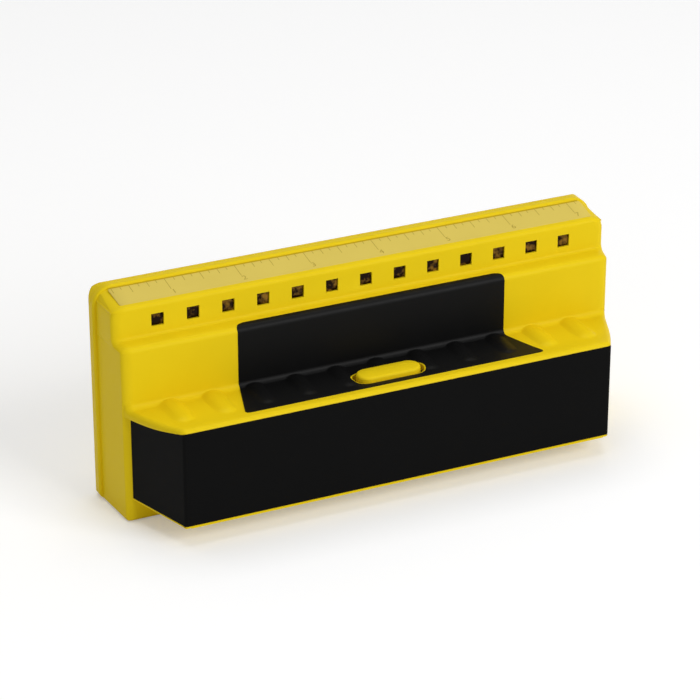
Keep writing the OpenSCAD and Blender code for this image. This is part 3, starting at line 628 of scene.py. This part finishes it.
def shelf_half(p):
    """Half length of the handle at a (y, z) point: the shelf's ends swell past the wings below them."""
    half = handle_at(p.x) - OVERLAY
    if p.y > wing_top(p.x):
        run = min(max(p.x - FRONT_Y, 0) / END_BULGE_RUN, 1)
        half += END_BULGE * math.sin(run * math.pi / 2)
    return half + (GRIP_HALF - half) * cove_share(p)


def handle_end(line, start):
    """Columns of the handle's +X end, from a start beside the door's opening.

    They round the end, drop to the wing's top edge and tuck in behind it. The underside rises to its rear.
    """
    rings = end_rings(line, shelf_half, handle_end_radius, handle_end_stretch, HANDLE_END_STEPS)
    rings.append([(x, y, min(z, wing_top(y) + OVERLAY)) for x, y, z in rings[-1]])
    rings.append([(handle_at(y) - OVERLAY, y, z) for _, y, z in rings[-1]])
    columns = []
    for share in spread(0, 1, count=9)[1:-1]:
        columns.append([(start + (x - start) * share, p.x, p.y) for (x, _, _), p in zip(rings[0], line)])
    columns += rings
    for column in columns:
        x, y, z = column[0]
        column[0] = (x, y, z + END_RISE)
    return columns


def handle_stations():
    """Places of the handle's columns over the door's opening: close together where ridges show."""
    fine = spread(FINE_COLUMNS_FROM, DOOR_HALF + OVERLAY, count=62)
    coarse = spread(-FINE_COLUMNS_FROM, FINE_COLUMNS_FROM, count=119)
    return [-x for x in fine[:0:-1]] + coarse + fine[1:]


def housing_handle():
    """The handle: lips, stripe, dished shelf and cove, open below for the battery door."""
    line = rounded_line(handle_corners())
    stations = handle_stations()
    end = handle_end(line, stations[-1])
    opening = range(len(end), len(end) + len(stations) - 1)

    def door_opening(column, row):
        return row <= LIP_STEPS and column in opening

    columns = with_ridges(whole_length(line, stations, end))
    handle = skin("handle", columns, caps=True, dropped=door_opening)
    solidify(handle, WALL, HANDLE_WALL_HALF)
    bake(handle)
    cut_opening(handle)
    bevel(handle, width=0.15)
    return handle


def flange_outline(inset):
    """Points round the flange's front view, drawn in by inset."""
    half = HALF_LENGTH - inset
    low, high = inset, BODY_HEIGHT - inset
    points = []
    for x, z, radius, start in (
        (half, low, BOTTOM_CORNER_RADIUS, -90),
        (half, high, TOP_CORNER_RADIUS, 0),
        (-half, high, TOP_CORNER_RADIUS, 90),
        (-half, low, BOTTOM_CORNER_RADIUS, 180),
    ):
        fitted = max(radius - inset, INNER_CORNER_RADIUS)
        centre_x = x - math.copysign(fitted, x)
        centre_z = z + (fitted if z == low else -fitted)
        for turn in spread(math.radians(start), math.radians(start + 90), count=13):
            points.append((centre_x + fitted * math.cos(turn), centre_z + fitted * math.sin(turn)))
    return points + points[:1]


def housing_flange():
    """The flange round the rear of the housing, with a soft front edge and half of the parting groove."""
    radius = FLANGE_EDGE_RADIUS
    levels = [(FLANGE_FRONT_LAP, FLANGE_Y)]
    for turn in spread(math.pi / 2, 0, count=7):
        levels.append((radius * (1 - math.cos(turn)), FLANGE_Y + radius * (1 - math.sin(turn))))
    levels += [
        (0, PARTING_Y - PARTING_GROOVE),
        (PARTING_GROOVE, PARTING_Y),
        (FLANGE_REAR_LAP, PARTING_Y),
    ]
    return skin("flange", [[(x, y, z) for x, z in flange_outline(inset)] for inset, y in levels])


def housing_shell():
    """The whole front housing."""
    shell = joined("housing_shell", [housing_base(), housing_handle(), housing_flange()])
    sharpen(shell)
    even_normals(shell)
    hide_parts("front_housing")
    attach(shell, "casing")
    return shell


def insert_half(along, total, y):
    """Half width of the grip insert, along its length from the stripe to the ledge."""
    start = GRIP_Y - COVE_RADIUS / 2
    flare = min(max((start - y) / (start - STRIPE_Y), 0), 1)
    half = INSERT_WALL_HALF + (INSERT_FRONT_HALF - INSERT_WALL_HALF) * flare
    return half - drawn_in(along, INSERT_FRONT_RADIUS) - drawn_in(total - along, INSERT_TOP_RADIUS)


def grip_skin():
    """The grip insert: a thin layer over the shelf, the cove, the grip wall and the ledge's edge."""
    corners = [
        *[corner for corner in shelf_corners() if corner[0] > STRIPE_Y],
        (GRIP_Y, DISH_Z, COVE_RADIUS, COVE_STEPS),
        (GRIP_Y, INSERT_MIDDLE_Z, 0, 0),
        (GRIP_Y, LEDGE_FRONT_Z, LEDGE_EDGE_RADIUS, INSERT_EDGE_STEPS),
        (INSERT_BEND_Y, ledge_z(INSERT_BEND_Y), 0, 0),
        (INSERT_TOP_Y, ledge_z(INSERT_TOP_Y), 0, 0),
    ]
    line = rounded_line(corners, -OVERLAY)
    reach = [0.0]
    for a, b in zip(line, line[1:]):
        reach.append(reach[-1] + (b - a).length)
    halves = [insert_half(along, reach[-1], p.x) for along, p in zip(reach, line)]
    columns = []
    for share in spread(-1, 1, count=301):
        columns.append([(share * half, p.x, p.y) for half, p in zip(halves, line)])
    grip = skin("grip_skin", with_ridges(columns, above=OVERLAY))
    solidify(grip, INSERT_THICKNESS)
    bake(grip)
    cut_opening(grip, grow=COLLAR)
    bevel(grip, width=0.3, segments=3)
    bake(grip)
    sharpen(grip, angle=50)
    even_normals(grip)
    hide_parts("grip_insert")
    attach(grip, "casing")
    return grip


def cover_path():
    """Plan of the handle cover's outside, from its left rear edge round to its right rear edge."""
    rear = GRIP_Y - COVER_GAP
    left_rear = Vector((-handle_at(rear), rear))
    left_front = Vector((-PANEL_HALF, FRONT_Y))
    right_front = Vector((PANEL_HALF, FRONT_Y))
    right_rear = Vector((handle_at(rear), rear))
    end_clear = 0.07
    front_clear = 0.05
    front_shares = spread(front_clear, 1 - front_clear, count=19)
    path = [left_rear.lerp(left_front, share) for share in spread(0, 1 - end_clear, count=15)]
    path += corner_points(left_rear, left_front, right_front, COVER_CORNER_RADIUS, ARC_STEPS)
    path += [left_front.lerp(right_front, share) for share in front_shares]
    path += corner_points(left_front, right_front, right_rear, COVER_CORNER_RADIUS, ARC_STEPS)
    path += [right_front.lerp(right_rear, share) for share in spread(end_clear, 1, count=15)]
    return path


def handle_wrap():
    """The handle cover: a band round the front and both ends of the handle."""
    columns = []
    for p in cover_path():
        low = HANDLE_Z + LIP_HEIGHT + END_RISE * handle_share(p.y)
        columns.append([(p.x, p.y, z) for z in spread(low, wing_top(p.y), count=9)])
    wrap = skin("handle_wrap", columns)
    solidify(wrap, COVER_THICKNESS)
    bevel(wrap, width=0.35, segments=3)
    bake(wrap)
    sharpen(wrap)
    even_normals(wrap)
    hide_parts("handle_cover")
    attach(wrap, "casing")
    return wrap


def button_levels():
    """How far the button grows past its outline at each height, from its flange to its crowned top."""
    radius = BUTTON_EDGE_RADIUS
    levels = [
        (BUTTON_FLANGE, BUTTON_FLANGE_Z),
        (BUTTON_FLANGE, BUTTON_FLANGE_TOP_Z),
        (0, BUTTON_FLANGE_TOP_Z),
    ]
    for turn in spread(0, math.pi / 2, count=8):
        levels.append((-radius * (1 - math.cos(turn)), BUTTON_EDGE_Z - radius * (1 - math.sin(turn))))
    return levels + [(-inset, BUTTON_TOP_Z - drop) for inset, drop in BUTTON_CROWN_DROPS.items()]


def button_cap():
    """The power button: a pill with soft edges on a hidden flange."""
    loops = []
    for grow, z in button_levels():
        outline = pill_outline(BUTTON_LENGTH + 2 * grow, BUTTON_WIDTH + 2 * grow)
        loops.append([(x, y, z) for x, y in outline])
    button = skin("button_cap", loops)
    close_ends(button)
    sharpen(button)
    even_normals(button)
    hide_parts("power_button")
    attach(button, "power_button")
    return button


def pane_columns(centre):
    """Columns of points over one window's domed pane."""
    offsets = spread(-PANE_HALF, PANE_HALF, count=11)
    columns = []
    for dx in offsets:
        falls = [PANE_DOME * (dx ** 2 + dz ** 2) / (2 * PANE_HALF ** 2) for dz in offsets]
        columns.append([(centre + dx, PANE_Y + fall, WINDOW_Z + dz) for dz, fall in zip(offsets, falls)])
    return columns


def lens_panes():
    """The lens strip: a strip behind the windows, with a domed pane that fills each one."""
    parts = []
    for centre in window_centres():
        pane = skin("pane", pane_columns(centre))
        solidify(pane, PANE_THICKNESS)
        parts.append(pane)
    front = lens_high.y - STRIP_THICKNESS
    stations = spread(lens_low.x, lens_high.x, count=14)
    strip = skin("strip", [[(x, front, z) for z in (lens_low.z, lens_high.z)] for x in stations])
    solidify(strip, STRIP_THICKNESS)
    bevel(strip, width=0.15)
    lenses = joined("lens_panes", parts + [strip])
    sharpen(lenses)
    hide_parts("lens_strip")
    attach(lenses, "casing")
    return lenses


def ruler_half(y):
    """Half length of the ruler inlay at a depth: wider at the back, with rounded corners."""
    share = (y - ruler_low.y) / (ruler_high.y - ruler_low.y)
    half = RULER_FRONT_HALF + share * (RULER_BACK_HALF - RULER_FRONT_HALF)
    return half - drawn_in(min(y - ruler_low.y, ruler_high.y - y), RULER_CORNER_RADIUS)


def ruler_inlay():
    """The ruler strip: a thin plate let into the sloping face."""
    corner = spread(0, RULER_CORNER_RADIUS, count=7)
    depths = [ruler_low.y + step for step in corner] + [ruler_high.y - step for step in corner[::-1]]
    columns = []
    for share in spread(-1, 1, count=41):
        columns.append([(share * ruler_half(y), y, ruler_z(y)) for y in depths])
    inlay = skin("ruler_inlay", columns)
    solidify(inlay, INLAY_THICKNESS)
    bevel(inlay, width=0.04)
    bake(inlay)
    sharpen(inlay)
    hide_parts("ruler_strip")
    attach(inlay, "casing")
    return inlay


def ruler_point(x, y):
    """A point just proud of the ruler face, in metres."""
    return Vector((x, y, ruler_z(y) + MARK_LIFT)) * MM


def flat_marks(name, bars):
    """Flat bars on the ruler face, each given by its left, right, near and far edges."""
    faces = []
    for left, right, near, far in bars:
        spots = [(left, near), (right, near), (right, far), (left, far)]
        faces.append([ruler_point(x, y) for x, y in spots])
    marks = flat_faces(name, faces)
    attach(marks, "casing")
    return marks


def ruler_seam():
    """Painted shade: a dark line along the ruler's rear edge, for the shade in the gap before the flange.
    """
    return flat_marks("ruler_seam", [(-RULER_FRONT_HALF, RULER_FRONT_HALF, SHADE_LINE_Y, SHADE_LINE_Y + SHADE_LINE_WIDTH)])


def ruler_ticks():
    """Eighth-inch ticks, longest at each inch."""
    eighth = INCH / 8
    bars = []
    for count in range(int(2 * HALF_LENGTH / eighth)):
        x = -HALF_LENGTH + eighth * count
        if abs(x) > RULER_FRONT_HALF:
            continue
        length = next(length for step, length in TICK_LENGTHS.items() if count % step == 0)
        bars.append((x - TICK_WIDTH / 2, x + TICK_WIDTH / 2, SHADE_LINE_Y - length, SHADE_LINE_Y))
    return flat_marks("ruler_ticks", bars)


def ruler_number(n):
    """One plain number, flat on the ruler face."""
    letters = bpy.data.curves.new(f"number_{n}", "FONT")
    letters.body = str(n)
    letters.size = NUMBER_SIZE * MM
    letters.align_x = "LEFT"
    text = bpy.data.objects.new(f"number_{n}", letters)
    text.location = ruler_point(-HALF_LENGTH + INCH * n + NUMBER_SHIFT, NUMBER_Y)
    text.rotation_euler = (math.atan(RULER_SLOPE), 0, 0)
    bpy.context.collection.objects.link(text)
    bpy.context.view_layer.update()
    graph = bpy.context.evaluated_depsgraph_get()
    mesh = bpy.data.meshes.new_from_object(text.evaluated_get(graph))
    mesh.transform(text.matrix_world)
    bpy.data.objects.remove(text)
    return new_object(f"ruler_number_{n}", mesh)


def ruler_numbers():
    """The inch numbers in front of the long ticks."""
    inches = int(2 * HALF_LENGTH / INCH)
    marks = joined("ruler_numbers", [ruler_number(n) for n in range(1, inches + 1)])
    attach(marks, "casing")
    return marks


def linear(*channels):
    """An sRGB colour of 0 to 255, as the shader takes it."""
    values = []
    for c in channels:
        c /= 255
        values.append(c / 12.92 if c <= 0.04045 else ((c + 0.055) / 1.055) ** 2.4)
    return (*values, 1.0)


def new_material(name):
    """An empty node material, with its nodes, links and shader."""
    material = bpy.data.materials.new(name)
    material.use_nodes = True
    nodes = material.node_tree.nodes
    return material, nodes, material.node_tree.links, nodes["Principled BSDF"]


def noise(nodes, links, size, detail=2.0):
    """A noise texture's value, with spots about size millimetres across."""
    place = nodes.new("ShaderNodeTexCoord")
    texture = nodes.new("ShaderNodeTexNoise")
    texture.inputs["Scale"].default_value = 1 / (size * MM)
    texture.inputs["Detail"].default_value = detail
    links.new(place.outputs["Object"], texture.inputs["Vector"])
    return texture.outputs["Fac"]


def uneven_gloss(nodes, links, shader, spots, roughness, drift):
    """Roughness that drifts from spot to spot."""
    gloss = nodes.new("ShaderNodeMapRange")
    gloss.inputs["To Min"].default_value = roughness - drift
    gloss.inputs["To Max"].default_value = roughness + drift
    links.new(spots, gloss.inputs["Value"])
    links.new(gloss.outputs["Result"], shader.inputs["Roughness"])


def moulded(name, colour, other, roughness, grain, depth, specular=0.18, patch=18):
    """Moulded plastic: a fine grain, a little drift of colour over patches, and uneven gloss."""
    material, nodes, links, shader = new_material(name)
    mix = nodes.new("ShaderNodeMix")
    mix.data_type = "RGBA"
    mix.inputs["A"].default_value = linear(*colour)
    mix.inputs["B"].default_value = linear(*other)
    links.new(noise(nodes, links, patch, detail=3), mix.inputs["Factor"])
    links.new(mix.outputs["Result"], shader.inputs["Base Color"])
    uneven_gloss(nodes, links, shader, noise(nodes, links, size=4), roughness, drift=0.05)
    bump = nodes.new("ShaderNodeBump")
    bump.inputs["Strength"].default_value = 0.35
    bump.inputs["Distance"].default_value = depth * MM
    links.new(noise(nodes, links, grain, detail=3), bump.inputs["Height"])
    links.new(bump.outputs["Normal"], shader.inputs["Normal"])
    shader.inputs["Specular IOR Level"].default_value = specular
    return material


def glinting(material, low, high):
    """Sharpens a moulding's drift of colour into separate light and dark patches: the light ones are
    painted glints that stand for reflections.
    """
    nodes, links = material.node_tree.nodes, material.node_tree.links
    mix = nodes["Principled BSDF"].inputs["Base Color"].links[0].from_node
    patches = nodes.new("ShaderNodeMapRange")
    patches.inputs["From Min"].default_value = low
    patches.inputs["From Max"].default_value = high
    links.new(mix.inputs["Factor"].links[0].from_socket, patches.inputs["Value"])
    links.new(patches.outputs["Result"], mix.inputs["Factor"])


def metal(name, colour, roughness):
    """Plated steel with faint brushing."""
    material, nodes, links, shader = new_material(name)
    shader.inputs["Metallic"].default_value = 1.0
    shader.inputs["Base Color"].default_value = linear(*colour)
    uneven_gloss(nodes, links, shader, noise(nodes, links, size=0.6, detail=4), roughness, drift=0.08)
    return material


def paint(material, *objects):
    """Gives each object one material."""
    for obj in objects:
        if obj.data.materials:
            for slot in obj.material_slots:
                slot.material = material
        else:
            obj.data.materials.append(material)


def cad(*names):
    """The objects of some CAD nodes."""
    return [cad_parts[name] for name in names]


def dress_casing(pieces):
    """Yellow plastic of the casing, the door and the button."""
    yellow = moulded(
        "yellow_moulding", (233, 203, 23), (227, 197, 20),
        roughness=0.4, grain=0.5, depth=0.02, specular=0.05,
    )
    paint(yellow, pieces["shell"], pieces["button"], *cad("rear_cover", "battery_door", "light_shroud"))


def dress_grip(pieces):
    """Black plastic of the handle cover, and the smoother layer of the grip insert."""
    black = moulded(
        "black_moulding", (11, 11, 11), (9, 9, 9),
        roughness=0.5, grain=0.7, depth=0.05, specular=0.04,
    )
    rubber = moulded(
        "grip_layer", (11, 11, 11), (9, 9, 9),
        roughness=0.45, grain=0.4, depth=0.02, specular=0.09,
    )
    paint(black, pieces["wrap"])
    paint(rubber, pieces["grip"])


def dress_ruler(pieces):
    """The ruler's paler matt face, its faint ink and the painted shade line behind it."""
    inlay = moulded(
        "ruler_inlay", (222, 199, 96), (216, 193, 90),
        roughness=0.75, grain=0.35, depth=0.04, specular=0.1,
    )
    ink = moulded(
        "ruler_marks", (184, 160, 66), (176, 152, 60),
        roughness=0.7, grain=0.3, depth=0.02, specular=0.1,
    )
    # Painted shade: the casing's yellow, darkened, for the shade in the gap behind the ruler.
    shade_line = moulded(
        "ruler_seam", (192, 162, 16), (186, 156, 14),
        roughness=0.5, grain=0.3, depth=0.02, specular=0.05,
    )
    paint(inlay, pieces["inlay"])
    paint(shade_line, pieces["shade_line"])
    paint(ink, pieces["ticks"], pieces["numbers"])


def dress_windows(pieces):
    """Smoke-brown lenses with painted glints, pale patches that stand for reflections, and the lamps
    behind.
    """
    # The dark brown is the lens's own smoke tint. The pale patches are painted glints standing for
    # reflections in the domed panes.
    smoke = moulded(
        "smoke_lens_painted_glints", (26, 11, 2), (132, 96, 30),
        roughness=0.12, grain=0.8, depth=0.01, specular=0.06, patch=2.2,
    )
    glinting(smoke, low=0.48, high=0.68)
    lamp = moulded("lamp_body", (170, 30, 24), (150, 24, 20), roughness=0.2, grain=0.6, depth=0.01)
    paint(smoke, pieces["lenses"])
    paint(lamp, *cad("indicator_leds"))


def dress_electronics():
    """Green boards, dark packages, ceramic components and cream mouldings."""
    board = moulded("board_mask", (18, 92, 50), (14, 80, 42), roughness=0.35, grain=0.5, depth=0.02)
    chip = moulded("chip_package", (34, 34, 36), (28, 28, 30), roughness=0.55, grain=0.3, depth=0.02)
    ceramic = moulded(
        "chip_ceramic", (150, 120, 90), (128, 100, 76),
        roughness=0.5, grain=0.4, depth=0.01,
    )
    cream = moulded(
        "cream_moulding", (228, 222, 204), (220, 212, 192),
        roughness=0.45, grain=0.5, depth=0.02,
    )
    paint(board, *cad("sensor_board", "switch_board"))
    paint(chip, *cad("microcontroller", "push_switch"))
    paint(ceramic, *cad("board_components"))
    paint(cream, *cad("lead_connector", "switch_plunger"))


def dress_battery():
    """The dark tray and the cells' labels."""
    tray = moulded("tray_moulding", (38, 38, 40), (32, 32, 34), roughness=0.55, grain=0.6, depth=0.04)
    label = moulded("cell_label", (46, 66, 98), (40, 58, 88), roughness=0.3, grain=1.2, depth=0.01)
    paint(tray, *cad("battery_tray"))
    paint(label, *cad("aa_cell_left", "aa_cell_right"))


def dress_leads():
    """Insulation of the leads."""
    for name, colour, other, lead in (
        ("red_wire", (176, 34, 26), (160, 28, 22), "red_lead"),
        ("black_wire", (26, 26, 26), (20, 20, 20), "black_lead"),
        ("white_wire", (218, 216, 208), (206, 204, 194), "switch_leads"),
    ):
        paint(moulded(name, colour, other, roughness=0.45, grain=0.4, depth=0.02), *cad(lead))


def dress_metal():
    """Plated steel of the contacts and the screws."""
    steel = metal("plated_steel", (196, 196, 192), roughness=0.32)
    paint(steel, *cad("spring_contact", "flat_contact", "housing_screws", "board_screws", "tray_screws"))


def dress(pieces):
    """Materials for every piece and every CAD node that still shows."""
    dress_casing(pieces)
    dress_grip(pieces)
    dress_ruler(pieces)
    dress_windows(pieces)
    dress_electronics()
    dress_battery()
    dress_leads()
    dress_metal()


def soften_cad():
    """Small rounded edges on the CAD pieces that show."""
    for name, width in (("battery_door", 0.3), ("housing_screws", 0.15)):
        bevel(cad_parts[name], width, angle=40)


def background(nodes, links, lit, shown):
    """A strength that is lit for the light on the part, and shown where the backdrop itself is seen."""
    path = nodes.new("ShaderNodeLightPath")
    seen = path.outputs["Is Camera Ray"]
    for kind in ("Is Glossy Ray", "Is Transmission Ray"):
        either = nodes.new("ShaderNodeMath")
        either.operation = "MAXIMUM"
        links.new(seen, either.inputs[0])
        links.new(path.outputs[kind], either.inputs[1])
        seen = either.outputs["Value"]
    strength = nodes.new("ShaderNodeMapRange")
    strength.inputs["To Min"].default_value = lit
    strength.inputs["To Max"].default_value = shown
    links.new(seen, strength.inputs["Value"])
    return strength.outputs["Result"]


def build_floor():
    """A wide pale floor under the part."""
    spots = [(-1, -1), (1, -1), (1, 1), (-1, 1)]
    floor = flat_faces("floor", [[(x * FLOOR_HALF, y * FLOOR_HALF, 0) for x, y in spots]])
    material, nodes, links, shader = new_material("pale_floor")
    shader.inputs["Base Color"].default_value = (0.9, 0.9, 0.9, 1)
    shader.inputs["Roughness"].default_value = 0.9
    shader.inputs["Specular IOR Level"].default_value = 0.0
    shader.inputs["Emission Color"].default_value = (1, 1, 1, 1)
    links.new(background(nodes, links, lit=0, shown=0.22), shader.inputs["Emission Strength"])
    paint(material, floor)


def look_at(obj, aim):
    """Turns a light or a camera to face a place."""
    obj.rotation_euler = (Vector(aim) - obj.location).to_track_quat("-Z", "Y").to_euler()


def area_light(name, place, size, power):
    """A square soft light that faces the part, placed in metres."""
    lamp = bpy.data.lights.new(name, "AREA")
    lamp.shape = "SQUARE"
    lamp.size = size
    lamp.energy = power
    obj = bpy.data.objects.new(name, lamp)
    obj.location = place
    look_at(obj, LIGHT_AIM)
    bpy.context.collection.objects.link(obj)


def build_light():
    """A soft key from the front right, a fill, a top light and a pale world."""
    area_light("key", place=(0.9, -1.6, 1.1), size=1.2, power=25)
    area_light("fill", place=(-1.4, -1.2, 0.8), size=1.2, power=3)
    area_light("top", place=(0.0, 0.3, 1.8), size=1.4, power=12)
    world = bpy.data.worlds.new("studio")
    bpy.context.scene.world = world
    world.use_nodes = True
    nodes, links = world.node_tree.nodes, world.node_tree.links
    sky = nodes["Background"]
    sky.inputs["Color"].default_value = (1, 1, 1, 1)
    links.new(background(nodes, links, lit=0.3, shown=1.0), sky.inputs["Strength"])


def build_camera():
    """The camera at the photograph's place."""
    data = bpy.data.cameras.new("camera")
    data.sensor_width = CAMERA_SENSOR
    data.lens = CAMERA_LENS
    camera = bpy.data.objects.new("camera", data)
    camera.location = Vector(CAMERA_PLACE) * MM
    look_at(camera, Vector(CAMERA_AIM) * MM)
    bpy.context.collection.objects.link(camera)
    bpy.context.scene.camera = camera


build_camera()
pieces = {
    "shell": housing_shell(),
    "grip": grip_skin(),
    "wrap": handle_wrap(),
    "button": button_cap(),
    "lenses": lens_panes(),
    "inlay": ruler_inlay(),
    # The painted shade line behind the ruler
    "shade_line": ruler_seam(),
    "ticks": ruler_ticks(),
    "numbers": ruler_numbers(),
}
soften_cad()
dress(pieces)
build_floor()
build_light()
bpy.context.scene.view_settings.view_transform = "Standard"
